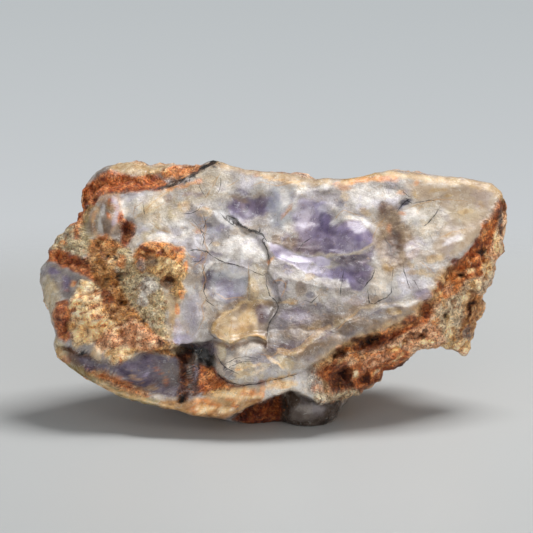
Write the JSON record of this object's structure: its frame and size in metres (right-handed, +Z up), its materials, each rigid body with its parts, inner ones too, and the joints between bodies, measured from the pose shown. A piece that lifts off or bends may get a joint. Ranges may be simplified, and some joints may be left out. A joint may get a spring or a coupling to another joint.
{
  "type": "rough opal",
  "caption": "Rough opal: a broken nodule of milky and violet opal with a rusty, pitted crust, one piece of natural stone that rests on a small flat spot.",
  "frame": {"origin": "middle of the flat spot on the underside that the stone rests on", "axes": "+X along the stone's length, with the broken opal face in front of it towards -Y; +Z up"},
  "size_m": [0.1099, 0.0652, 0.0585],
  "materials": {
    "opal": "wet-looking milky opal where broken, grainy rust and cream crust elsewhere"
  },
  "bodies": {
    "root": {"rough_opal": "opal"}
  },
  "joints": []
}
